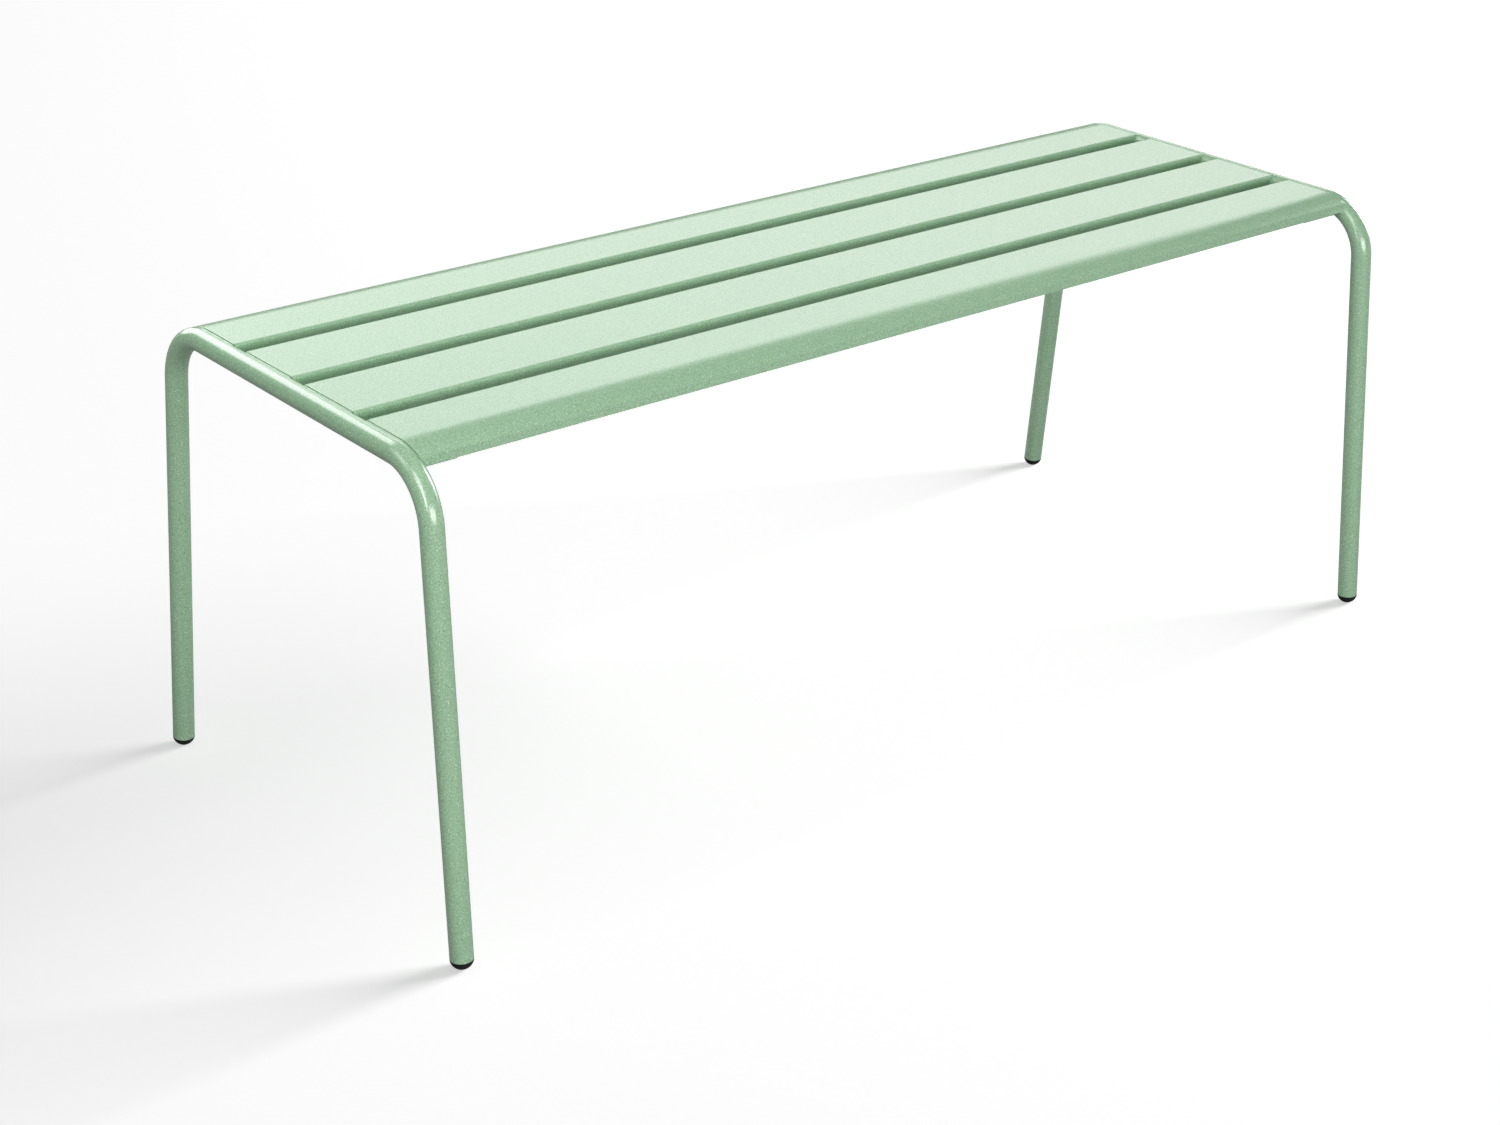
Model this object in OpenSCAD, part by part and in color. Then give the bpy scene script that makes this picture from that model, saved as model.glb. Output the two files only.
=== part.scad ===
// Backless metal bench: four folded sheet slats on two bent tube leg frames.
// X runs along the bench, Y from front to rear, Z up. The origin is on the
// floor below the middle of the seat. "Left" is the -X end, "front" is -Y.

/* [Seat] */
// Height of the seat above the floor, in mm
seat_height = 454; // [420:1:480]
// Length of the bench over the two leg frames, at the seat
seat_length = 1183; // [950:1:1400]
// Width of one slat, from front to rear
slat_width = 80; // [70:1:90]
// Width of the open slot between two slats
slot_width = 19; // [14:0.5:24]
// Thickness of the sheet that the slats are folded from
sheet = 1.5; // [1:0.1:2]
// Depth of the slats, over their folded edges
slat_depth = 16; // [14:0.5:18]
// Outer radius of the folded edges
fold_r = 2.5; // [2.2:0.1:3]
// How far the end of each slat laps over its frame tube
slat_lap = 4.8; // [3.5:0.1:5.2]
// Turn of the front and rear slats round the frame's bend, in degrees
apron_turn = 26; // [20:1:32]

/* [Leg frames] */
// Outer diameter of the frame tube
tube_d = 21; // [19:0.5:23]
// Wall thickness of the frame tube
tube_wall = 1.5; // [1.2:0.1:2]
// Centre-line radius of the two bends in each frame
bend_r = 54; // [48:1:62]
// Splay of the legs towards the front and the rear, in degrees
leg_splay = 4.9; // [2:0.1:7]
// Outward lean of each whole frame along the bench, in degrees
frame_lean = 1; // [0:0.1:2.5]

/* [Foot caps] */
// Length of a cap below the end of its tube
cap_length = 8.5; // [7:0.5:10]
// Radius of the flat sole of a cap
sole_r = 4; // [3:0.5:5]
// Height of the straight rim of a cap
cap_rim = 1; // [0.8:0.1:1.5]
// Length of the plug that a cap pushes into its tube
plug_length = 18; // [12:1:25]

/* [Cross bars] */
// Width of the flat bars under the seat
bar_width = 30; // [25:1:40]
// Thickness of the flat bars and of the frame brackets
bar_thick = 4; // [3:0.5:4.5]
// Distance from a frame tube's axis to its end bar's centre line
bar_inset = 36; // [34:1:50]
// Distance of the bars' ends from the front and rear faces of the seat
bar_setback = 14; // [12:1:20]

/* [Brackets and screws] */
// Size of a bracket from front to rear
bracket_width = 50; // [44:1:54]
// Distance between the two screws in a bracket
screw_pitch = 24; // [20:1:28]
// Length of a screw below its head
screw_length = 16; // [16:1:20]

/* [Hidden] */
$fn = 96;

// Sides of the bench, as signs of X and of Y
left = -1;
right = 1;
front = -1;
rear = 1;

// Colours
paint = [0.60, 0.74, 0.60];
zinc = [0.72, 0.73, 0.74];
black = [0.08, 0.08, 0.08];

// Slats, across the bench
slat_pitch = slat_width + slot_width;
seat_half_y = 1.5 * slot_width + 2 * slat_width;
slat_floor = seat_height - slat_depth;
sheet_floor = seat_height - sheet;

// Frame tube: its axis, and the bend that the apron follows
tube_r = tube_d / 2;
bore_r = tube_r - tube_wall;
tube_x = seat_length / 2 - tube_r;
tube_z = seat_height - tube_r;
apron_r = bend_r + tube_r;
bend_z = tube_z - bend_r;
fold_y = seat_half_y - fold_r;
bend_y = fold_y - (apron_r - fold_r) * sin(apron_turn);
fold_z = bend_z + (apron_r - fold_r) * cos(apron_turn);

// Legs: from the end of the bend to the cap, measured along the leg
leg_top_z = bend_z + bend_r * sin(leg_splay);
lean_stretch = tube_z * (1 / cos(frame_lean) - 1);
leg_length = (leg_top_z + lean_stretch) / cos(leg_splay) - cap_length;
bend_swell = 0.03;
joint_lap = 0.5;

// Foot caps: a spherical dome between the rim and the sole
cap_r = tube_r;
plug_clearance = 0.05;
dome_drop = cap_length - cap_rim;
dome_z = cap_rim - (cap_r * cap_r - sole_r * sole_r - dome_drop * dome_drop) / (2 * dome_drop);
dome_r = sqrt(cap_r * cap_r + (cap_rim - dome_z) * (cap_rim - dome_z));
plug_wall = 2;
plug_chamfer = 1.5;

// Slat ends, coped round the tube with a little room for the weld
weld_gap = 0.05;
slat_end_x = tube_x - tube_r + slat_lap;

// Flat bars and brackets, one below the other under the slats
bar_top = slat_floor;
bar_floor = bar_top - bar_thick;
bar_half_y = seat_half_y - bar_setback;
bar_x = tube_x - bar_inset;
bracket_floor = bar_floor - bar_thick;
bracket_end = bar_x - bar_width / 2 - 3;
bracket_y = seat_half_y - slat_width / 2;
bracket_corner_r = 6;

// Hardware: M6 button-head screws, washers and hexagon nuts
screw_d = 6;
hole_d = 6.6;
head_d = 10.5;
head_height = 3.3;
head_rim = 0.8;
key_width = 4;
key_depth = 2;
washer_d = 12;
washer_bore = 6.4;
washer_thick = 1.6;
nut_width = 10;
nut_height = 5;
nut_bore = 6.1;
head_z = bracket_floor - washer_thick;

// Turns a shape made for the rear, or for the right, to face the other way
module facing(way) {
    rotate([0, 0, 90 - 90 * way])
        children();
}

// Puts a shape that stands in the YZ plane at x = 0 onto the frame of one end
module on_frame(side) {
    translate([side * tube_x, 0, tube_z])
        rotate([0, -side * frame_lean, 0])
            translate([0, 0, -tube_z])
                children();
}

// Puts a shape onto the end of one leg's tube, with its Z up the tube
module on_leg_end(side, way) {
    on_frame(side)
        facing(way)
            translate([0, bend_y, bend_z])
                rotate([leg_splay, 0, 0])
                    translate([0, bend_r, -leg_length])
                        children();
}

// Round bar or tube along the centre line of a whole frame: solid where bore
// is zero. The walls swell a little where the tube is bent.
module frame_tube(r, bore = 0) {
    rotate([90, 0, 0])
        translate([0, tube_z, -bend_y - joint_lap])
            straight_tube(r, bore, 2 * (bend_y + joint_lap));
    for (way = [front, rear])
        facing(way)
            translate([0, bend_y, bend_z])
                rotate([leg_splay, 0, 0]) {
                    rotate([90, 0, 90])
                        rotate_extrude(angle = 90 - leg_splay)
                            translate([bend_r, 0])
                                tube_section(r + bend_swell, bore - bend_swell);
                    translate([0, bend_r, -leg_length])
                        straight_tube(r, bore, leg_length + joint_lap);
                }
}

// A straight run of tube, its section drawn from the outer side of the bends
module straight_tube(r, bore, length) {
    linear_extrude(height = length)
        rotate(90)
            tube_section(r, bore);
}

module tube_section(r, bore) {
    difference() {
        circle(r = r);
        if (bore > 0)
            circle(r = bore);
    }
}

// One end frame: cross tube, two bends and two legs from a single bent tube
module leg_frame(side) {
    color(paint)
        on_frame(side)
            frame_tube(tube_r, bore_r);
}

// Section of a quarter or part turn of folded sheet, from the Y direction up
module sheet_arc(outer_r, from, to) {
    far = 2 * outer_r;
    intersection() {
        difference() {
            circle(r = outer_r);
            circle(r = outer_r - sheet);
        }
        polygon([
            [0, 0],
            [far * cos(from), far * sin(from)],
            [far * cos((from + to) / 2), far * sin((from + to) / 2)],
            [far * cos(to), far * sin(to)]
        ]);
    }
}

// Section of an inner slat: a flat top with both edges folded down
module inner_section() {
    half = slat_width / 2;
    translate([fold_r - half, sheet_floor])
        square([slat_width - 2 * fold_r, sheet]);
    translate([fold_r - half, seat_height - fold_r])
        sheet_arc(fold_r, 90, 180);
    translate([half - fold_r, seat_height - fold_r])
        sheet_arc(fold_r, 0, 90);
    translate([-half, slat_floor])
        square([sheet, slat_depth - fold_r]);
    translate([half - sheet, slat_floor])
        square([sheet, slat_depth - fold_r]);
}

// Section of the rear slat: its outer edge follows the bend of the frame
// tube, then folds down into a straight apron
module outer_section() {
    inner_y = seat_half_y - slat_width;
    translate([inner_y, slat_floor])
        square([sheet, slat_depth - fold_r]);
    translate([inner_y + fold_r, seat_height - fold_r])
        sheet_arc(fold_r, 90, 180);
    translate([inner_y + fold_r, sheet_floor])
        square([bend_y - inner_y - fold_r, sheet]);
    translate([bend_y, bend_z])
        sheet_arc(apron_r, 90 - apron_turn, 90);
    translate([fold_y, fold_z])
        sheet_arc(fold_r, 0, 90 - apron_turn);
    translate([seat_half_y - sheet, slat_floor])
        square([sheet, fold_z - slat_floor]);
}

// A slat: its section run from end to end, coped round both frame tubes
module slat() {
    color(paint)
        difference() {
            translate([-slat_end_x, 0, 0])
                rotate([90, 0, 90])
                    linear_extrude(height = 2 * slat_end_x)
                        children();
            for (side = [left, right])
                on_frame(side)
                    frame_tube(tube_r + weld_gap);
        }
}

module inner_slat(way) {
    facing(way)
        slat()
            translate([slat_pitch / 2, 0])
                inner_section();
}

module outer_slat(way) {
    facing(way)
        slat()
            outer_section();
}

// Screw positions on the bracket of one corner
module at_screws(side, way) {
    for (step = [-0.5, 0.5])
        translate([side * bar_x, way * (bracket_y + step * screw_pitch), 0])
            children();
}

// Flat bar across the underside of the four slats
module cross_bar(x) {
    translate([x - bar_width / 2, -bar_half_y, bar_floor])
        cube([bar_width, 2 * bar_half_y, bar_thick]);
}

// Bar at one end of the seat, drilled for the four screws of its frame
module end_bar(side) {
    color(paint)
        difference() {
            cross_bar(side * bar_x);
            for (way = [front, rear])
                at_screws(side, way)
                    translate([0, 0, bar_floor - 1])
                        cylinder(d = hole_d, h = bar_thick + 2);
        }
}

module centre_bar() {
    color(paint)
        cross_bar(0);
}

// Plate welded under a frame tube, which cradles the tube and carries the seat
module bracket(side, way) {
    color(paint)
        facing(side)
            difference() {
                translate([0, side * way * bracket_y, bracket_floor])
                    linear_extrude(height = bar_thick)
                        bracket_outline();
                on_frame(right)
                    frame_tube(tube_r + weld_gap);
                at_screws(right, side * way)
                    translate([0, 0, bracket_floor - 1])
                        cylinder(d = hole_d, h = bar_thick + 2);
            }
}

// Outline of a right-hand bracket, with the two corners under the seat rounded
module bracket_outline() {
    r = bracket_corner_r;
    half = bracket_width / 2;
    difference() {
        translate([bracket_end, -half])
            square([tube_x - bracket_end, bracket_width]);
        for (way = [front, rear])
            translate([bracket_end + r, way * (half - r)])
                rotate(90 + 45 * (1 - way))
                    corner_waste(r);
    }
}

// What rounding a corner takes away, for the corner at (r, r)
module corner_waste(r) {
    difference() {
        square([r + 1, r + 1]);
        circle(r = r);
    }
}

// Domed foot cap with a hollow plug that pushes into the end of the tube
module foot_cap(side, way) {
    color(black)
        intersection() {
            on_leg_end(side, way) {
                rotate([180, 0, 0])
                    cap_dome();
                cap_plug();
            }
            translate([-seat_length, -seat_length, 0])
                cube([2 * seat_length, 2 * seat_length, seat_height]);
        }
}

module cap_dome() {
    intersection() {
        cylinder(r = cap_r, h = 2 * cap_length);
        translate([0, 0, dome_z])
            sphere(r = dome_r);
    }
}

module cap_plug() {
    plug_r = bore_r - plug_clearance;
    difference() {
        union() {
            cylinder(r = plug_r, h = plug_length - plug_chamfer);
            translate([0, 0, plug_length - plug_chamfer])
                cylinder(r1 = plug_r, r2 = plug_r - plug_chamfer, h = plug_chamfer);
        }
        translate([0, 0, 1])
            cylinder(r = plug_r - plug_wall, h = plug_length);
    }
}

// Two screws at each of the two brackets of one end, from below
module screws(side) {
    color(zinc)
        for (way = [front, rear])
            at_screws(side, way)
                translate([0, 0, head_z])
                    screw();
}

module screw() {
    dome_r = (pow(head_d / 2, 2) + pow(head_height - head_rim, 2)) / (2 * (head_height - head_rim));
    cylinder(d = screw_d, h = screw_length);
    difference() {
        intersection() {
            translate([0, 0, -head_height])
                cylinder(d = head_d, h = head_height);
            translate([0, 0, dome_r - head_height])
                sphere(r = dome_r);
        }
        translate([0, 0, -head_height - 1])
            cylinder(r = key_width / sqrt(3), h = key_depth + 1, $fn = 6);
    }
}

module washers(side) {
    color(zinc)
        for (way = [front, rear])
            at_screws(side, way)
                translate([0, 0, head_z])
                    difference() {
                        cylinder(d = washer_d, h = washer_thick);
                        translate([0, 0, -1])
                            cylinder(d = washer_bore, h = washer_thick + 2);
                    }
}

module nuts(side) {
    color(zinc)
        for (way = [front, rear])
            at_screws(side, way)
                translate([0, 0, bar_top])
                    difference() {
                        cylinder(r = nut_width / sqrt(3), h = nut_height, $fn = 6);
                        translate([0, 0, -1])
                            cylinder(d = nut_bore, h = nut_height + 2);
                    }
}

leg_frame(left);  // left_leg_frame
leg_frame(right);  // right_leg_frame
outer_slat(front);  // front_slat
inner_slat(front);  // front_inner_slat
inner_slat(rear);  // rear_inner_slat
outer_slat(rear);  // rear_slat
end_bar(left);  // left_end_bar
centre_bar();
end_bar(right);  // right_end_bar
bracket(left, front);  // left_front_bracket
bracket(left, rear);  // left_rear_bracket
bracket(right, front);  // right_front_bracket
bracket(right, rear);  // right_rear_bracket
foot_cap(left, front);  // left_front_foot_cap
foot_cap(left, rear);  // left_rear_foot_cap
foot_cap(right, front);  // right_front_foot_cap
foot_cap(right, rear);  // right_rear_foot_cap
screws(left);  // left_screws
screws(right);  // right_screws
washers(left);  // left_washers
washers(right);  // right_washers
nuts(left);  // left_nuts
nuts(right);  // right_nuts
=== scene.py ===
"""Looks of the backless bench: fine meshes, powder coat, weld beads, a white studio and a camera.

Everything is in metres in the row frame: +X along the bench to its right end, +Y to the rear, +Z up.
"left" is the -X end and "front" is -Y. Places come from the CAD nodes' boxes."""

import math

import bmesh
import bpy
from mathutils import Matrix, Vector


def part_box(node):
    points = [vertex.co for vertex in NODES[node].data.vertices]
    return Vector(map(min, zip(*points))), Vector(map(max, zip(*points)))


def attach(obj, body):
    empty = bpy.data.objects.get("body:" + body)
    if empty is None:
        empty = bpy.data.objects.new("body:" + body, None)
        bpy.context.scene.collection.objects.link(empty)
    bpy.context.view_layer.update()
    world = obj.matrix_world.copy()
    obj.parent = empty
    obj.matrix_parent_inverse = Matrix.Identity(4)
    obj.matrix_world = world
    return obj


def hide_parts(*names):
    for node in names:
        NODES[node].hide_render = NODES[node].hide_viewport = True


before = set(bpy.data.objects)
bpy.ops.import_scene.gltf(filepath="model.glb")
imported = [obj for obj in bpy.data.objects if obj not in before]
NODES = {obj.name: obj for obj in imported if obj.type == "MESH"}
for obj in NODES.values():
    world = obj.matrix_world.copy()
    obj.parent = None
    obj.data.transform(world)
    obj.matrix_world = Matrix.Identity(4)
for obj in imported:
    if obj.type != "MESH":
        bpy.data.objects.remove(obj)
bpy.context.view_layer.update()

MM = 0.001
SIDES = {"left": -1, "right": 1}
WAYS = {"front": -1, "rear": 1}

# ---------------------------------------------------------------- sizes that the boxes don't give

TUBE_R = 10.5 * MM
TUBE_WALL = 1.5 * MM
BEND_R = 54 * MM
SPLAY = math.radians(4.9)
LEAN = math.radians(1)
SHEET = 1.5 * MM
FOLD_R = 2.5 * MM
APRON_TURN = math.radians(26)
CAP_LENGTH = 8.5 * MM
CAP_RIM = 1 * MM
SOLE_R = 4 * MM
PLUG_LENGTH = 18 * MM
PLUG_TIP = 1.5 * MM
SLACK = 0.05 * MM
EDGE_R = 0.35 * MM
# how far flat stretches run on past a rounded edge, so that smooth shading keeps them flat
HOLD = 0.3 * MM

# ---------------------------------------------------------------- places, from the CAD boxes

slat_low, slat_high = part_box("rear_inner_slat")
SEAT_TOP = slat_high.z
SLAT_FLOOR = slat_low.z
SLAT_END = slat_high.x
SLAT_WIDTH = slat_high.y - slat_low.y
SLOT = 2 * slat_low.y
SEAT_HALF_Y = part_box("rear_slat")[1].y
TUBE_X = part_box("right_front_bracket")[1].x
TUBE_Z = SEAT_TOP - TUBE_R

APRON_R = BEND_R + TUBE_R
BEND_Z = TUBE_Z - BEND_R
FOLD_Y = SEAT_HALF_Y - FOLD_R
BEND_Y = FOLD_Y - (APRON_R - FOLD_R) * math.sin(APRON_TURN)
FOLD_Z = BEND_Z + (APRON_R - FOLD_R) * math.cos(APRON_TURN)
LEG_TOP_Z = BEND_Z + BEND_R * math.sin(SPLAY)
LEAN_STRETCH = TUBE_Z * (1 / math.cos(LEAN) - 1)
LEG_LENGTH = (LEG_TOP_Z + LEAN_STRETCH) / math.cos(SPLAY) - CAP_LENGTH


# ---------------------------------------------------------------- mesh helpers


def mesh_object(name, bm, sharp_deg=38):
    """Turns a bmesh into a smooth-shaded object, where edges above sharp_deg degrees stay sharp."""
    bmesh.ops.recalc_face_normals(bm, faces=bm.faces)
    mesh = bpy.data.meshes.new(name)
    bm.to_mesh(mesh)
    bm.free()
    mesh.shade_smooth()
    mesh.set_sharp_from_angle(angle=math.radians(sharp_deg))
    made = bpy.data.objects.new(name, mesh)
    bpy.context.scene.collection.objects.link(made)
    return made


def add_loft(bm, rings, closed=False, ends="flat"):
    """Joins rings of points with quads. A closed loft runs back to its first ring. Other lofts end in
    one flat face, or in a strip of quads where each ring doubles back on itself."""
    rows = [[bm.verts.new(p) for p in ring] for ring in rings]
    count = len(rows[0])
    following = rows[1:] + rows[:1] if closed else rows[1:]
    for a, b in zip(rows, following):
        for i in range(count):
            j = (i + 1) % count
            bm.faces.new((a[i], a[j], b[j], b[i]))
    if closed:
        return
    for row in (rows[0], rows[-1]):
        if ends == "flat":
            bm.faces.new(row)
            continue
        for i in range(count // 2 - 1):
            bm.faces.new((row[i], row[i + 1], row[count - 2 - i], row[count - 1 - i]))


def round_steps(radius, steps=3):
    """(distance from the end, distance from the side) along a quarter round, from the end to the side."""
    turns = [math.pi / 2 * k / steps for k in range(steps + 1)]
    return [(radius * (1 - math.cos(t)), radius * (1 - math.sin(t))) for t in turns]


def add_lathe(bm, profile, place, segments=64, bored=False):
    """Turns (height, radius) points round an axis. A radius may be a function of the angle.
    A bored part's profile runs round its whole section."""
    angles = [math.tau * k / segments for k in range(segments)]
    rings = []
    for height, radius in profile:
        of_angle = radius if callable(radius) else lambda angle, r=radius: r
        rings.append(
            [
                place @ Vector((of_angle(a) * math.cos(a), of_angle(a) * math.sin(a), height))
                for a in angles
            ]
        )
    add_loft(bm, rings, closed=bored)


def dress(piece, material):
    """Gives a new piece its material and its body."""
    piece.data.materials.clear()
    piece.data.materials.append(material)
    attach(piece, "root")


# ---------------------------------------------------------------- the leg frames' centre line


def lean_frame(side):
    """Places a shape drawn in the YZ plane at x = 0 onto one leaning end frame."""
    pivot = Matrix.Translation((side * TUBE_X, 0, TUBE_Z))
    turn = Matrix.Rotation(-side * LEAN, 4, "Y")
    return pivot @ turn @ Matrix.Translation((0, 0, -TUBE_Z))


def half_line(bend_steps):
    """Centre line from mid seat to a rear leg's end: (y, z, turn). A turn of 0 heads along +Y, and it
    grows downwards."""
    line = [(0.0, TUBE_Z, 0.0)]
    total = math.pi / 2 - SPLAY
    for k in range(bend_steps + 1):
        turn = total * k / bend_steps
        line.append((BEND_Y + BEND_R * math.sin(turn), BEND_Z + BEND_R * math.cos(turn), turn))
    top_y, top_z, turn = line[-1]
    for share in (0.33, 0.66, 1.0):
        run = LEG_LENGTH * share
        line.append((top_y + run * math.sin(SPLAY), top_z - run * math.cos(SPLAY), turn))
    return line


def tube_point(place, spot, across, up, along=0.0):
    """A point beside the centre line: across along X, up away from the bend's centre, along the line."""
    y, z, turn = spot
    forward = Vector((0, math.cos(turn), -math.sin(turn)))
    outward = Vector((0, math.sin(turn), math.cos(turn)))
    return place @ (Vector((across, y, z)) + outward * up + forward * along)


def tube_ring(place, spot, radius, along=0.0, sides=72):
    """A ring of points round the centre line, moved along it."""
    angles = [math.tau * k / sides for k in range(sides)]
    return [
        tube_point(place, spot, radius * math.sin(a), radius * math.cos(a), along) for a in angles
    ]


def tube_gap(y, z):
    """Distance from (y, z) to the tube's centre line, seen along X."""
    if abs(y) <= BEND_Y:
        return abs(z - TUBE_Z)
    return abs(math.hypot(abs(y) - BEND_Y, z - BEND_Z) - BEND_R)


def cope_x(y, z):
    """Where a slat's metal ends along +X at (y, z): at the tube's surface, or at the slat's own end."""
    gap = tube_gap(y, z)
    room = TUBE_R + SLACK
    if gap >= room:
        return SLAT_END
    axis_x = TUBE_X + (TUBE_Z - z) * math.tan(LEAN)
    return min(SLAT_END, axis_x - math.sqrt(room * room - gap * gap))


# ---------------------------------------------------------------- leg frames

TUBE_EDGE_R = 0.5 * MM


def leg_frame(side_name, side):
    """One bent tube, hollow from foot to foot, with its cut ends rounded by the paint."""
    place = lean_frame(side)
    rear = half_line(bend_steps=40)
    front = [(-y, z, -turn) for y, z, turn in rear[:0:-1]]
    line = front + rear
    end_round = round_steps(TUBE_EDGE_R)
    bore = TUBE_R - TUBE_WALL
    outside = [tube_ring(place, spot, TUBE_R) for spot in line[1:-1]]
    inside = [tube_ring(place, spot, bore) for spot in line[-2:0:-1]]
    front_lip = [tube_ring(place, line[0], TUBE_R - cut, back) for back, cut in end_round]
    rear_lip = [tube_ring(place, line[-1], TUBE_R - cut, -back) for back, cut in end_round]
    rings = [tube_ring(place, line[0], bore)] + front_lip + outside + rear_lip[::-1]
    rings += [tube_ring(place, line[-1], bore)] + inside
    bm = bmesh.new()
    add_loft(bm, rings, closed=True)
    piece = mesh_object(side_name + "_bent_tube", bm)
    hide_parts(side_name + "_leg_frame")
    return piece


# ---------------------------------------------------------------- slats

# distances from a slat's end to the last ring of its coped end, and to the first of its plain middle
END_RING = 2.5 * MM
MIDDLE_MARGIN = 20 * MM


def folded_path(start_y, moves):
    """Mid-surface of a folded sheet: (y, z, outward y, outward z), from the foot of its first flange.
    A move is ("line", length), or ("arc", outer radius, turn, steps)."""
    half = SHEET / 2
    y, z, heading = start_y + half, SLAT_FLOOR, math.pi / 2
    path = []

    def mark(at_y, at_z, toward):
        path.append((at_y, at_z, -math.sin(toward), math.cos(toward)))

    for kind, *size in moves:
        if kind == "line":
            length = size[0]
            stops = [s for s, _ in round_steps(EDGE_R)] + [EDGE_R + HOLD, length / 2]
            stops += [length - s for s in reversed(stops[:-1])]
            for stop in stops:
                mark(y + stop * math.cos(heading), z + stop * math.sin(heading), heading)
            y, z = y + length * math.cos(heading), z + length * math.sin(heading)
            continue
        radius, turn, steps = size[0] - half, size[1], size[2]
        centre_y, centre_z = y + radius * math.sin(heading), z - radius * math.cos(heading)
        for k in range(1, steps):
            toward = heading - turn * k / steps
            mark(centre_y - radius * math.sin(toward), centre_z + radius * math.cos(toward), toward)
        heading -= turn
        y, z = centre_y - radius * math.sin(heading), centre_z + radius * math.cos(heading)
    return path


def inner_moves():
    """An inner slat: flange, fold, flat top, fold, flange."""
    flange = ("line", SEAT_TOP - SLAT_FLOOR - FOLD_R)
    fold = ("arc", FOLD_R, math.pi / 2, 10)
    return [flange, fold, ("line", SLAT_WIDTH - 2 * FOLD_R), fold, flange]


def outer_moves():
    """The rear slat: flange, fold, flat top, the tube's bend, fold, straight apron."""
    flange = ("line", SEAT_TOP - SLAT_FLOOR - FOLD_R)
    top = ("line", BEND_Y - (SEAT_HALF_Y - SLAT_WIDTH) - FOLD_R)
    bend = ("arc", APRON_R, APRON_TURN, 18)
    fold = ("arc", FOLD_R, math.pi / 2 - APRON_TURN, 8)
    return [flange, ("arc", FOLD_R, math.pi / 2, 10), top, bend, fold, ("line", FOLD_Z - SLAT_FLOOR)]


def edge_cut(path, index):
    """How much a free edge's rounding thins the sheet at one point of its path."""
    cuts = [cut for _, cut in round_steps(EDGE_R)]
    near = min(index, len(path) - 1 - index)
    return cuts[near] if near < len(cuts) else 0.0


def slat_ring(path, way, place_x, cut):
    """One ring round the sheet's section. place_x gives x at (y, z), and cut thins the sheet where its
    end is rounded."""
    faces = ([], [])
    for index, (y, z, out_y, out_z) in enumerate(path):
        half = SHEET / 2 - cut - edge_cut(path, index)
        for face, sign in zip(faces, (1, -1)):
            at_y, at_z = y + sign * half * out_y, z + sign * half * out_z
            face.append(Vector((place_x(at_y, at_z), way * at_y, at_z)))
    return faces[0] + faces[1][::-1]


def slat(name, way, path, stations=9):
    """A folded sheet from end to end, coped round both tubes."""
    rings = []
    for side in (-1, 1):
        end = []
        for back, cut in round_steps(EDGE_R) + [(EDGE_R + HOLD, 0.0), (END_RING, 0.0)]:
            reach = lambda y, z, b=back: side * (cope_x(y, z) - b)
            end.append(slat_ring(path, way, reach, cut))
        rings.append(end)
    span = SLAT_END - MIDDLE_MARGIN
    middle = []
    for k in range(stations):
        x = -span + 2 * span * k / (stations - 1)
        middle.append(slat_ring(path, way, lambda y, z, at=x: at, 0.0))
    bm = bmesh.new()
    add_loft(bm, rings[0] + middle + rings[1][::-1], ends="strip")
    piece = mesh_object(name + "_sheet", bm)
    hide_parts(name)
    return piece


def slats():
    """The four slats."""
    inner = folded_path(SLOT / 2, inner_moves())
    outer = folded_path(SEAT_HALF_Y - SLAT_WIDTH, outer_moves())
    made = []
    for way_name, way in WAYS.items():
        made.append(slat(way_name + "_inner_slat", way, inner))
        made.append(slat(way_name + "_slat", way, outer))
    return made


# ---------------------------------------------------------------- dressed welds along the seams

SEAM = TUBE_X - SLAT_END
# the weld's section in millimetres: how far from the slat's end towards the tube, and below the tube's top
SEAM_FILL = [
    (0.5, 1.9),
    (0.5, 0.95),
    (0.62, 0.66),
    (0.9, 0.5),
    (1.3, 0.46),
    (1.9, 0.47),
    (2.7, 0.62),
    (2.4, 1.4),
]


def seam_spots(outer):
    """Spots on the centre line along one rear slat's end, from fold to fold."""
    if not outer:
        start, stop = SLOT / 2 + FOLD_R, SLOT / 2 + SLAT_WIDTH - FOLD_R
        return [(start + (stop - start) * k / 4, TUBE_Z, 0.0) for k in range(5)]
    start = SEAT_HALF_Y - SLAT_WIDTH + FOLD_R
    spots = [(start + (BEND_Y - start) * k / 4, TUBE_Z, 0.0) for k in range(4)]
    for k in range(13):
        turn = APRON_TURN * k / 12
        spots.append((BEND_Y + BEND_R * math.sin(turn), BEND_Z + BEND_R * math.cos(turn), turn))
    return spots


def seam_fills(side_name, side):
    """The filled and dressed joint between the four slats and one tube."""
    bm = bmesh.new()
    place = lean_frame(side)
    for way in WAYS.values():
        for outer in (False, True):
            rings = []
            for y, z, turn in seam_spots(outer):
                spot = (way * y, z, way * turn)
                rings.append(
                    [
                        tube_point(place, spot, side * (reach * MM - SEAM), TUBE_R - drop * MM)
                        for reach, drop in SEAM_FILL
                    ]
                )
            add_loft(bm, rings)
    return mesh_object(side_name + "_seam_welds", bm, sharp_deg=50)


# ---------------------------------------------------------------- foot caps

SOLE_BAND = 1.1 * MM
HOLLOW_SLOPE = 0.3 * MM
HOLLOW_DEPTH = 0.4 * MM


def leg_end(side, way):
    """A place at the end of one leg's tube, with its Z pointing down the leg."""
    y, z, _ = half_line(bend_steps=1)[-1]
    turn = Matrix.Rotation(math.pi + way * SPLAY, 4, "X")
    return lean_frame(side) @ Matrix.Translation((0, way * y, z)) @ turn


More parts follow.
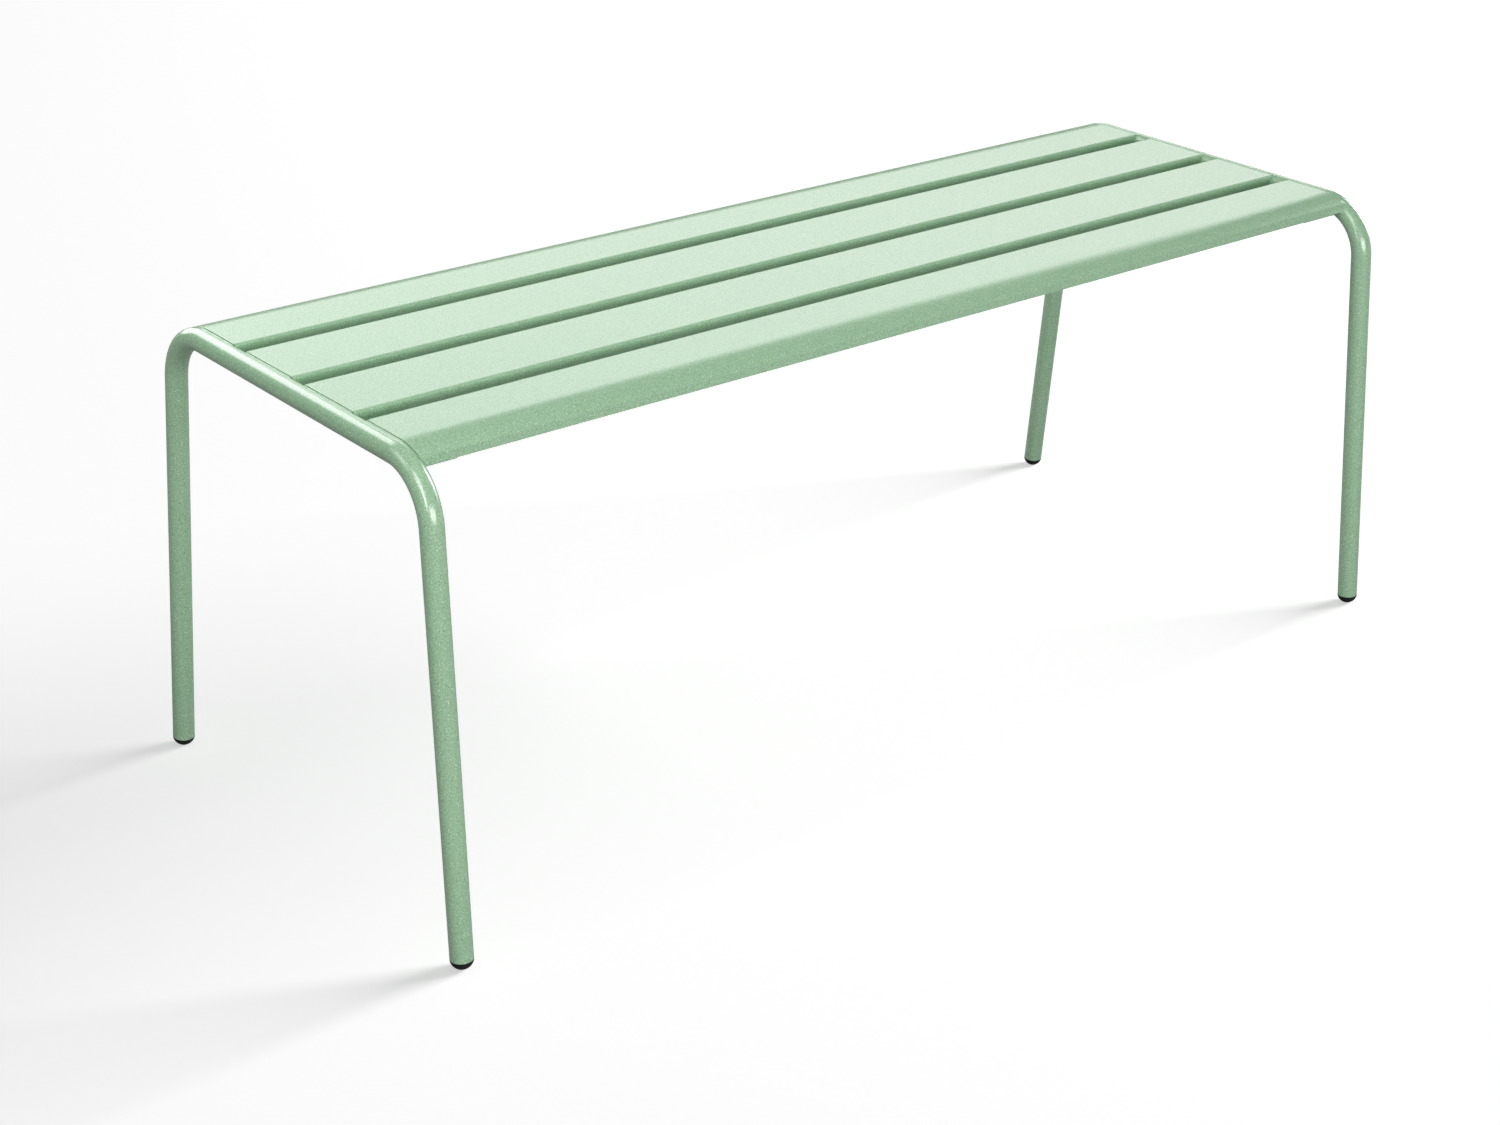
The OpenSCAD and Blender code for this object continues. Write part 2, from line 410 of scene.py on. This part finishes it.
def foot_cap(side_name, side, way_name, way):
    """Moulded cap: plug, rim, domed skirt and a flat sole with a shallow hollow in its middle."""
    name = f"{side_name}_{way_name}_foot_cap"
    drop = CAP_LENGTH - CAP_RIM
    centre = CAP_RIM - (TUBE_R**2 - SOLE_R**2 - drop**2) / (2 * drop)
    dome_r = math.hypot(TUBE_R, CAP_RIM - centre)
    plug_r = TUBE_R - TUBE_WALL - SLACK
    hair = 0.02 * MM
    lip = 0.25 * MM
    steps = 24
    profile = [(-PLUG_LENGTH, plug_r - PLUG_TIP), (PLUG_TIP - PLUG_LENGTH, plug_r), (0.0, plug_r)]
    profile += [(lip - lip * math.cos(t), TUBE_R - lip + lip * math.sin(t)) for t in (0, 0.5, 1.0, 1.5)]
    profile += [(CAP_RIM - 10 * hair, TUBE_R), (CAP_RIM, TUBE_R - hair)]
    tip = centre + dome_r - hair
    for k in range(1, steps + 1):
        height = CAP_RIM + (tip - CAP_RIM) * math.sin(math.pi / 2 * k / steps)
        profile.append((height, math.sqrt(dome_r**2 - (height - centre) ** 2)))
    bm = bmesh.new()
    add_lathe(bm, profile, leg_end(side, way))
    cut = bmesh.ops.bisect_plane(
        bm,
        geom=bm.verts[:] + bm.edges[:] + bm.faces[:],
        plane_co=(0, 0, 0),
        plane_no=(0, 0, -1),
        clear_outer=True,
    )
    rim = [e for e in cut["geom_cut"] if isinstance(e, bmesh.types.BMEdge)]
    sole = bmesh.ops.contextual_create(bm, geom=rim)["faces"]
    bmesh.ops.inset_region(bm, faces=sole, thickness=SOLE_BAND)
    bmesh.ops.inset_region(bm, faces=sole, thickness=HOLLOW_SLOPE, depth=-HOLLOW_DEPTH)
    piece = mesh_object(name + "_moulding", bm, sharp_deg=24)
    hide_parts(name)
    return piece


# ---------------------------------------------------------------- screws, washers and nuts

screw_low, screw_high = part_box("right_screws")
washer_low, washer_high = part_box("right_washers")
nut_low, nut_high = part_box("right_nuts")
bracket_low, bracket_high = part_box("right_front_bracket")
HARDWARE_X = (screw_low.x + screw_high.x) / 2
BRACKET_Y = -(bracket_low.y + bracket_high.y) / 2
HEAD_R = (screw_high.x - screw_low.x) / 2
SCREW_STEP = screw_high.y - HEAD_R - BRACKET_Y
HEAD_RIM = 0.8 * MM
SHANK_R = 3 * MM
SOCKET_FLAT = 2 * MM
SOCKET_DEPTH = 2 * MM
SOCKET_SINK = 0.35 * MM
THREAD_TURNS = 6
THREAD_PITCH = 1 * MM
THREAD_DEPTH = 0.35 * MM
NUT_FLAT = 5 * MM
NUT_CHAMFER = 0.6 * MM
WASHER_BORE_R = 3.2 * MM


def hexagon(apothem, limit=1.0):
    """The radius of a hexagon at an angle, never more than limit."""

    def radius(angle):
        off = (angle + math.pi / 6) % (math.pi / 3) - math.pi / 6
        return min(apothem / math.cos(off), limit)

    return radius


def screw_profile():
    """Button head with a hexagon socket, plain shank, and a threaded tip above the nut."""
    floor, seat, tip = screw_low.z, washer_low.z, screw_high.z
    rim = seat - HEAD_RIM
    rise = rim - floor
    edge = 0.1 * MM
    centre_r = 0.05 * MM
    dome_r = (HEAD_R**2 + rise**2) / (2 * rise)
    socket = hexagon(SOCKET_FLAT)
    socket_end = floor + SOCKET_DEPTH
    profile = [(socket_end + edge, centre_r), (socket_end, socket), (floor + SOCKET_SINK, socket)]
    for share in (0.47, 0.6, 0.72, 0.82, 0.9, 0.96, 1.0):
        r = HEAD_R * share
        profile.append((floor + dome_r - math.sqrt(dome_r**2 - r * r), r))
    profile += [(seat - edge, HEAD_R), (seat, HEAD_R - edge), (seat, SHANK_R)]
    half_pitch = THREAD_PITCH / 2
    start = tip - half_pitch - THREAD_TURNS * THREAD_PITCH
    for k in range(2 * THREAD_TURNS + 1):
        depth = THREAD_DEPTH if k % 2 else 0.0
        profile.append((start + k * half_pitch, SHANK_R - depth))
    return profile + [(tip, SHANK_R - 0.6 * MM), (tip, centre_r)]


def washer_profile():
    """A pressed washer with slightly rolled edges, as a closed section."""
    low, high, edge = washer_low.z, washer_high.z, 0.15 * MM
    outer, inner = (washer_high.x - washer_low.x) / 2, WASHER_BORE_R
    return [
        (low, inner),
        (low, outer - edge),
        (low + edge, outer),
        (high - edge, outer),
        (high, outer - edge),
        (high, inner),
    ]


def nut_profile():
    """A hexagon nut, chamfered at both faces."""
    low, high = nut_low.z, nut_high.z
    full, face = hexagon(NUT_FLAT), hexagon(NUT_FLAT, NUT_FLAT * 0.97)
    bore = SHANK_R + SLACK
    lead = 0.4 * MM
    return [
        (low, bore),
        (low, face),
        (low + NUT_CHAMFER, full),
        (high - NUT_CHAMFER, full),
        (high, face),
        (high, SHANK_R + lead),
        (high - lead, bore),
    ]


def hardware(kind, profile, side_name, side, bored):
    """Four screws, washers or nuts of one end, as one piece."""
    bm = bmesh.new()
    for way in WAYS.values():
        for step in (-1, 1):
            spot = Matrix.Translation((side * HARDWARE_X, way * (BRACKET_Y + step * SCREW_STEP), 0))
            turned = spot @ Matrix.Rotation(0.4 * way + 0.9 * step, 4, "Z")
            add_lathe(bm, profile, turned, segments=48, bored=bored)
    piece = mesh_object(f"{side_name}_{kind}_turned", bm, sharp_deg=30)
    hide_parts(f"{side_name}_{kind}")
    return piece


# ---------------------------------------------------------------- weld beads

STITCH = 16 * MM
STITCH_R = 1.3 * MM
FLANGE_BEAD_R = 1.1 * MM
BRACKET_BEAD_R = 1.4 * MM
BAR_BEAD = 10 * MM
BAR_BEAD_STEP = 8 * MM


def add_bead(bm, start, end, radius, pitch=1.7 * MM):
    """A rippled weld bead along a straight joint, tapering at both ends."""
    run = end - start
    along = run.normalized()
    side = along.orthogonal().normalized()
    other = along.cross(side)
    count = max(8, int(run.length / (0.4 * MM)))
    rings = []
    for k in range(count + 1):
        share = k / count
        ripple = 0.86 + 0.14 * abs(math.cos(math.pi * share * run.length / pitch))
        taper = min(1.0, math.sqrt(max(0.02, min(share, 1 - share) * run.length / radius)))
        size = radius * ripple * taper
        centre = start + run * share
        rings.append(
            [
                centre + side * (size * math.cos(a)) + other * (size * math.sin(a))
                for a in (math.tau * j / 12 for j in range(12))
            ]
        )
    add_loft(bm, rings)


def flange_places():
    """Y of the middle of every flange, with the direction of the inside of its channel."""
    half = SHEET / 2
    inner = [(SLOT / 2 + half, 1), (SLOT / 2 + SLAT_WIDTH - half, -1)]
    outer = [(SEAT_HALF_Y - SLAT_WIDTH + half, 1), (SEAT_HALF_Y - half, -1)]
    right = inner + outer
    return [(-y, -inside) for y, inside in right] + right


def end_beads(bm, side):
    """Beads at one end: sheet to tube under each slat, flanges to tube, brackets to tube."""
    stitch_x = side * (SLAT_END - 1.1 * MM)
    stitch_z = SEAT_TOP - SHEET - 0.8 * MM
    for way in WAYS.values():
        for middle in (SLOT / 2 + SLAT_WIDTH / 2, SEAT_HALF_Y - SLAT_WIDTH / 2 - STITCH / 2):
            for offset in (-STITCH, STITCH):
                start = Vector((stitch_x, way * middle + offset - STITCH / 2, stitch_z))
                add_bead(bm, start, start + Vector((0, STITCH, 0)), STITCH_R)
    into_tube = 0.2 * MM
    for y, inside in flange_places():
        at_y = y + inside * SHEET * 0.6
        low_x = side * (cope_x(at_y, SLAT_FLOOR + 2 * MM) - into_tube)
        high_x = side * (cope_x(at_y, SLAT_FLOOR + 9 * MM) - into_tube)
        start = Vector((low_x, at_y, SLAT_FLOOR + 1.5 * MM))
        end = Vector((high_x, at_y, SLAT_FLOOR + 9 * MM))
        add_bead(bm, start, end, FLANGE_BEAD_R)
    inner_bead = (TUBE_X - 4.6 * MM, bracket_high.z + 0.1 * MM)
    outer_bead = (TUBE_X + 0.2 * MM, bracket_high.z - 1.3 * MM)
    for way in WAYS.values():
        near = way * (BRACKET_Y - 20 * MM)
        far = way * (BRACKET_Y + 6 * MM)
        for x, z in (inner_bead, outer_bead):
            add_bead(bm, Vector((side * x, near, z)), Vector((side * x, far, z)), BRACKET_BEAD_R)


def bar_beads(bm, node):
    """Beads along both sides of each bar, where it meets the slats' flanges."""
    low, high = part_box(node)
    middle_x = (low.x + high.x) / 2
    for y, inside in flange_places():
        if not low.y < y < high.y:
            continue
        at_y = y + inside * SHEET / 2
        for offset in (-BAR_BEAD_STEP, BAR_BEAD_STEP):
            start = Vector((middle_x + offset - BAR_BEAD / 2, at_y, high.z + 0.2 * MM))
            add_bead(bm, start, start + Vector((BAR_BEAD, 0, 0)), FLANGE_BEAD_R)


def weld_beads():
    """All the beads, in one piece for each end and one for the centre bar."""
    made = []
    for side_name, side in SIDES.items():
        bm = bmesh.new()
        end_beads(bm, side)
        bar_beads(bm, side_name + "_end_bar")
        made.append(mesh_object(side_name + "_weld_beads", bm, sharp_deg=60))
    bm = bmesh.new()
    bar_beads(bm, "centre_bar")
    made.append(mesh_object("centre_weld_beads", bm, sharp_deg=60))
    return made


# ---------------------------------------------------------------- materials


class Shader:
    """A new material and short ways to add and link its nodes."""

    def __init__(self, name):
        self.material = bpy.data.materials.new(name)
        self.material.use_nodes = True
        self.tree = self.material.node_tree
        self.surface = self.tree.nodes["Principled BSDF"]
        self.place = self.add("ShaderNodeTexCoord").outputs["Object"]

    def add(self, kind, **settings):
        node = self.tree.nodes.new(kind)
        for key, value in settings.items():
            setattr(node, key, value)
        return node

    def link(self, out, into):
        self.tree.links.new(out, into)

    def noise(self, scale, detail=2.0, roughness=0.5):
        """Noise of that many waves to a metre."""
        node = self.add("ShaderNodeTexNoise")
        self.link(self.place, node.inputs["Vector"])
        node.inputs["Scale"].default_value = scale
        node.inputs["Detail"].default_value = detail
        node.inputs["Roughness"].default_value = roughness
        return node.outputs["Fac"]

    def span(self, value, low, high, to_low, to_high):
        """Maps low..high of a value to to_low..to_high, and holds it there."""
        node = self.add("ShaderNodeMapRange")
        self.link(value, node.inputs["Value"])
        for key, number in zip(
            ("From Min", "From Max", "To Min", "To Max"), (low, high, to_low, to_high)
        ):
            node.inputs[key].default_value = number
        return node.outputs["Result"]

    def blend(self, share, a, b):
        """Mixes two colours by share. Each may be a colour or another node's output."""
        node = self.add("ShaderNodeMix", data_type="RGBA")
        self.put(share, node.inputs[0])
        self.put(a, node.inputs[6])
        self.put(b, node.inputs[7])
        return node.outputs[2]

    def put(self, value, into):
        """Links a node's output to an input, or sets the input to a plain value."""
        if isinstance(value, bpy.types.NodeSocket):
            self.link(value, into)
        else:
            into.default_value = value

    def math(self, operation, a, b):
        node = self.add("ShaderNodeMath", operation=operation)
        self.put(a, node.inputs[0])
        self.put(b, node.inputs[1])
        return node.outputs[0]

    def bump(self, height, distance, strength=1.0, over=None):
        """Bump of a real depth in metres, on top of another bump."""
        node = self.add("ShaderNodeBump")
        self.link(height, node.inputs["Height"])
        node.inputs["Distance"].default_value = distance
        node.inputs["Strength"].default_value = strength
        if over is not None:
            self.link(over, node.inputs["Normal"])
        return node.outputs["Normal"]


def rgba(r, g, b):
    """A linear colour with full alpha."""
    return (r, g, b, 1.0)


def powder_coat():
    """Pale mint satin powder coat: orange peel, fine light and dark grains, slight unevenness."""
    s = Shader("mint_powder_coat")
    drift = s.span(s.noise(2.5, 2.0), 0.3, 0.7, 0.0, 1.0)
    base = s.blend(drift, rgba(0.285, 0.461, 0.295), rgba(0.275, 0.448, 0.285))
    pits = s.span(s.noise(820.0, 1.0), 0.58, 0.68, 0.0, 0.8)
    base = s.blend(pits, base, rgba(0.16, 0.30, 0.165))
    grains = s.span(s.noise(980.0, 1.0), 0.58, 0.68, 0.0, 0.7)
    base = s.blend(grains, base, rgba(0.55, 0.74, 0.55))
    s.link(base, s.surface.inputs["Base Color"])
    s.link(s.span(s.noise(700.0, 2.0), 0.3, 0.7, 0.21, 0.27), s.surface.inputs["Roughness"])
    s.surface.inputs["Specular IOR Level"].default_value = 0.8
    peel = s.bump(s.noise(520.0, 1.0), 0.015 * MM, 0.4)
    grain = s.bump(s.noise(1500.0, 2.0), 0.012 * MM, 0.5, over=peel)
    s.link(grain, s.surface.inputs["Normal"])
    return s.material


def moulded_plastic():
    """Black polyethylene with a fine moulded grain and slight scuffing."""
    s = Shader("black_moulded_plastic")
    scuff = s.span(s.noise(220.0, 5.0, 0.6), 0.52, 0.75, 0.0, 0.5)
    base = s.blend(scuff, rgba(0.004, 0.0045, 0.0045), rgba(0.012, 0.013, 0.012))
    s.link(base, s.surface.inputs["Base Color"])
    s.link(s.span(s.noise(150.0, 3.0), 0.3, 0.7, 0.42, 0.58), s.surface.inputs["Roughness"])
    s.surface.inputs["Specular IOR Level"].default_value = 0.3
    s.link(s.bump(s.noise(2200.0, 2.0), 0.03 * MM, 0.5), s.surface.inputs["Normal"])
    return s.material


def zinc_plate():
    """Bright zinc on steel: cool grey with faint yellow and blue passivation."""
    s = Shader("zinc_plated_steel")
    tint = s.span(s.noise(90.0, 2.0), 0.35, 0.65, 0.0, 1.0)
    base = s.blend(tint, rgba(0.52, 0.55, 0.60), rgba(0.60, 0.58, 0.50))
    s.link(base, s.surface.inputs["Base Color"])
    s.surface.inputs["Metallic"].default_value = 1.0
    s.link(s.span(s.noise(600.0, 3.0), 0.3, 0.7, 0.24, 0.42), s.surface.inputs["Roughness"])
    s.link(s.bump(s.noise(1800.0, 2.0), 0.02 * MM, 0.4), s.surface.inputs["Normal"])
    return s.material


def floor_paper():
    """White studio paper that glows a little, and is clear from below so that the underside can be
    seen. It is darker to the bench than to the camera, and its far parts fade to plain white."""
    s = Shader("studio_floor")
    s.surface.inputs["Roughness"].default_value = 1.0
    s.surface.inputs["Specular IOR Level"].default_value = 0.0
    s.surface.inputs["Emission Color"].default_value = rgba(1, 1, 1)
    seen = s.add("ShaderNodeLightPath").outputs["Is Camera Ray"]
    s.link(s.span(seen, 0.0, 1.0, FLOOR_GREY, FLOOR_WHITE), s.surface.inputs["Base Color"])
    away = s.add("ShaderNodeVectorMath", operation="LENGTH")
    s.link(s.place, away.inputs[0])
    glow = s.span(away.outputs["Value"], *FLOOR_FADE, FLOOR_GLOW, 1.0)
    glow = s.math("MAXIMUM", s.math("MULTIPLY", seen, glow), FLOOR_BOUNCE)
    s.link(glow, s.surface.inputs["Emission Strength"])
    below = s.add("ShaderNodeNewGeometry").outputs["Backfacing"]
    clear = s.add("ShaderNodeBsdfTransparent").outputs["BSDF"]
    mix = s.add("ShaderNodeMixShader")
    s.link(below, mix.inputs[0])
    s.link(s.surface.outputs["BSDF"], mix.inputs[1])
    s.link(clear, mix.inputs[2])
    s.link(mix.outputs["Shader"], s.tree.nodes["Material Output"].inputs["Surface"])
    return s.material


# ---------------------------------------------------------------- studio and camera

FLOOR_SIZE = 60.0
# the paper's own light and its whiteness, first as the camera sees them and then as the bench does
FLOOR_GLOW = 0.6
FLOOR_BOUNCE = 0.12
FLOOR_WHITE = 0.9
FLOOR_GREY = 0.44
# distances from the bench where the fade to white starts and ends
FLOOR_FADE = (4.0, 12.0)
# brightness of the surround, overhead and near the horizon
SKY_TOP = 0.05
SKY_EDGE = 0.02


def studio_floor():
    """One large plane under the feet."""
    bm = bmesh.new()
    half = FLOOR_SIZE / 2
    corners = [(-half, -half), (half, -half), (half, half), (-half, half)]
    bm.faces.new([bm.verts.new((x, y, 0.0)) for x, y in corners])
    floor = mesh_object("studio_floor", bm)
    if floor.data.polygons[0].normal.z < 0:
        floor.data.flip_normals()
    floor.data.materials.append(floor_paper())
    return floor


def sky():
    """A dim surround for the shading, which the camera sees as white."""
    world = bpy.data.worlds.new("studio_surround")
    bpy.context.scene.world = world
    world.use_nodes = True
    tree = world.node_tree
    place = tree.nodes.new("ShaderNodeTexCoord")
    split = tree.nodes.new("ShaderNodeSeparateXYZ")
    ramp = tree.nodes.new("ShaderNodeMapRange")
    ramp.interpolation_type = "SMOOTHSTEP"
    ramp.inputs["From Min"].default_value = 0.3
    ramp.inputs["From Max"].default_value = 0.95
    ramp.inputs["To Min"].default_value = SKY_EDGE
    ramp.inputs["To Max"].default_value = SKY_TOP
    tree.links.new(place.outputs["Generated"], split.inputs[0])
    tree.links.new(split.outputs["Z"], ramp.inputs["Value"])
    seen = tree.nodes.new("ShaderNodeLightPath")
    pick = tree.nodes.new("ShaderNodeMix")
    tree.links.new(seen.outputs["Is Camera Ray"], pick.inputs[0])
    tree.links.new(ramp.outputs["Result"], pick.inputs[2])
    pick.inputs[3].default_value = 1.0
    tree.links.new(pick.outputs[0], tree.nodes["Background"].inputs["Strength"])
    tree.nodes["Background"].inputs["Color"].default_value = rgba(1, 1, 1)


def softbox(name, azimuth, elevation, distance, width, height, glow, lit):
    """A rectangular light that faces the bench. glow is how bright its face looks, with white paper at 1.
    lit is the collection that says which objects the light reaches."""
    lamp = bpy.data.lights.new(name, "AREA")
    lamp.shape = "RECTANGLE"
    lamp.size = width
    lamp.size_y = height
    lamp.energy = glow * math.pi * width * height
    target = Vector((0, 0, SEAT_TOP * 0.6))
    a, e = math.radians(azimuth), math.radians(elevation)
    out = Vector((math.cos(a) * math.cos(e), math.sin(a) * math.cos(e), math.sin(e)))
    made = bpy.data.objects.new(name, lamp)
    bpy.context.scene.collection.objects.link(made)
    made.location = target + out * distance
    made.rotation_euler = (-out).to_track_quat("-Z", "Y").to_euler()
    made.light_linking.receiver_collection = lit
    return made


def lit_collection(name, floor, state):
    """A collection for light linking that takes in only the floor, or leaves only the floor out."""
    made = bpy.data.collections.new(name)
    made.objects.link(floor)
    made.collection_objects[0].light_linking.link_state = state
    return made


def lights(floor):
    """Soft boxes round the bench, one for the floor alone, and a strip that only adds a glint.
    Azimuth 0 is +X, and 90 is +Y, behind the bench."""
    bench = lit_collection("lit_bench", floor, "EXCLUDE")
    paper = lit_collection("lit_floor", floor, "INCLUDE")
    boxes = [
        # name, azimuth, elevation, distance, width, height, glow
        ("rear_box", 96, 28, 3.5, 1.9, 2.7, 5.3),
        ("far_box", 54, 23.5, 3.5, 3.3, 1.25, 2.15),
        ("right_box", 4, 16, 6.0, 1.8, 3.0, 15.0),
        ("front_box", -101, 13, 3.5, 2.6, 1.0, 10.2),
        ("left_box", -150, 44, 3.5, 1.5, 1.5, 6.6),
        ("left_low_box", 158, 38, 3.5, 1.6, 1.4, 3.0),
        ("top_box", 0, 89, 3.0, 2.4, 2.4, 0.5),
    ]
    for box in boxes:
        softbox(*box, lit=bench)
    softbox("floor_box", -12, 17, 14.0, 6.5, 5.6, 24.0, lit=paper)
    glint = softbox("glint_strip", -146, 23.4, 1.46, 0.12, 0.45, 18.0, lit=bench)
    glint.visible_camera = False
    glint.visible_diffuse = False


# the photograph's viewpoint, fitted to the outlines of the bench. Yaw 0 looks along +Y
EYE = Vector((-1.5752, -1.7939, 1.2377))
YAW = 0.6873
PITCH = 0.4370
ROLL = -0.0172
FOCAL_LENGTH = 61.41
SHIFT_X = 0.0150
SHIFT_Y = -0.0018


def camera():
    """Looks at the bench from the front left, from well above the seat."""
    data = bpy.data.cameras.new("camera")
    data.sensor_width = 36.0
    data.lens = FOCAL_LENGTH
    data.shift_x = SHIFT_X
    data.shift_y = SHIFT_Y
    made = bpy.data.objects.new("camera", data)
    reach = math.cos(PITCH)
    forward = Vector((math.sin(YAW) * reach, math.cos(YAW) * reach, -math.sin(PITCH)))
    level = Vector((math.cos(YAW), -math.sin(YAW), 0))
    down = forward.cross(level)
    right = level * math.cos(ROLL) + down * math.sin(ROLL)
    up = level * math.sin(ROLL) - down * math.cos(ROLL)
    turn = Matrix((right, up, -forward)).transposed().to_4x4()
    made.matrix_world = Matrix.Translation(EYE) @ turn
    bpy.context.scene.collection.objects.link(made)
    bpy.context.scene.camera = made


# ---------------------------------------------------------------- putting it together

SOFT_EDGE = 0.4 * MM


def soften_cad_node(node, material):
    """Keeps a CAD node's own mesh, and rounds its edges with modifiers: its split corners are welded
    and its flat faces made whole first."""
    piece = NODES[node]
    piece.data.materials.clear()
    piece.data.materials.append(material)
    weld = piece.modifiers.new("weld", "WELD")
    weld.merge_threshold = 0.01 * MM
    flat = piece.modifiers.new("flat", "DECIMATE")
    flat.decimate_type = "DISSOLVE"
    flat.angle_limit = math.radians(1)
    bevel = piece.modifiers.new("edges", "BEVEL")
    bevel.width = SOFT_EDGE
    bevel.segments = 3
    bevel.limit_method = "ANGLE"
    bevel.angle_limit = math.radians(40)
    bevel.harden_normals = True


def build():
    """Makes every piece and gives it its material."""
    paint = powder_coat()
    plastic = moulded_plastic()
    zinc = zinc_plate()
    painted = slats() + weld_beads()
    painted += [leg_frame(name, side) for name, side in SIDES.items()]
    painted += [seam_fills(name, side) for name, side in SIDES.items()]
    for piece in painted:
        dress(piece, paint)
    for side_name, side in SIDES.items():
        for way_name, way in WAYS.items():
            dress(foot_cap(side_name, side, way_name, way), plastic)
            soften_cad_node(f"{side_name}_{way_name}_bracket", paint)
        dress(hardware("screws", screw_profile(), side_name, side, False), zinc)
        dress(hardware("washers", washer_profile(), side_name, side, True), zinc)
        dress(hardware("nuts", nut_profile(), side_name, side, True), zinc)
        soften_cad_node(side_name + "_end_bar", paint)
    soften_cad_node("centre_bar", paint)


build()
sky()
lights(studio_floor())
camera()
bpy.context.scene.view_settings.view_transform = "Standard"
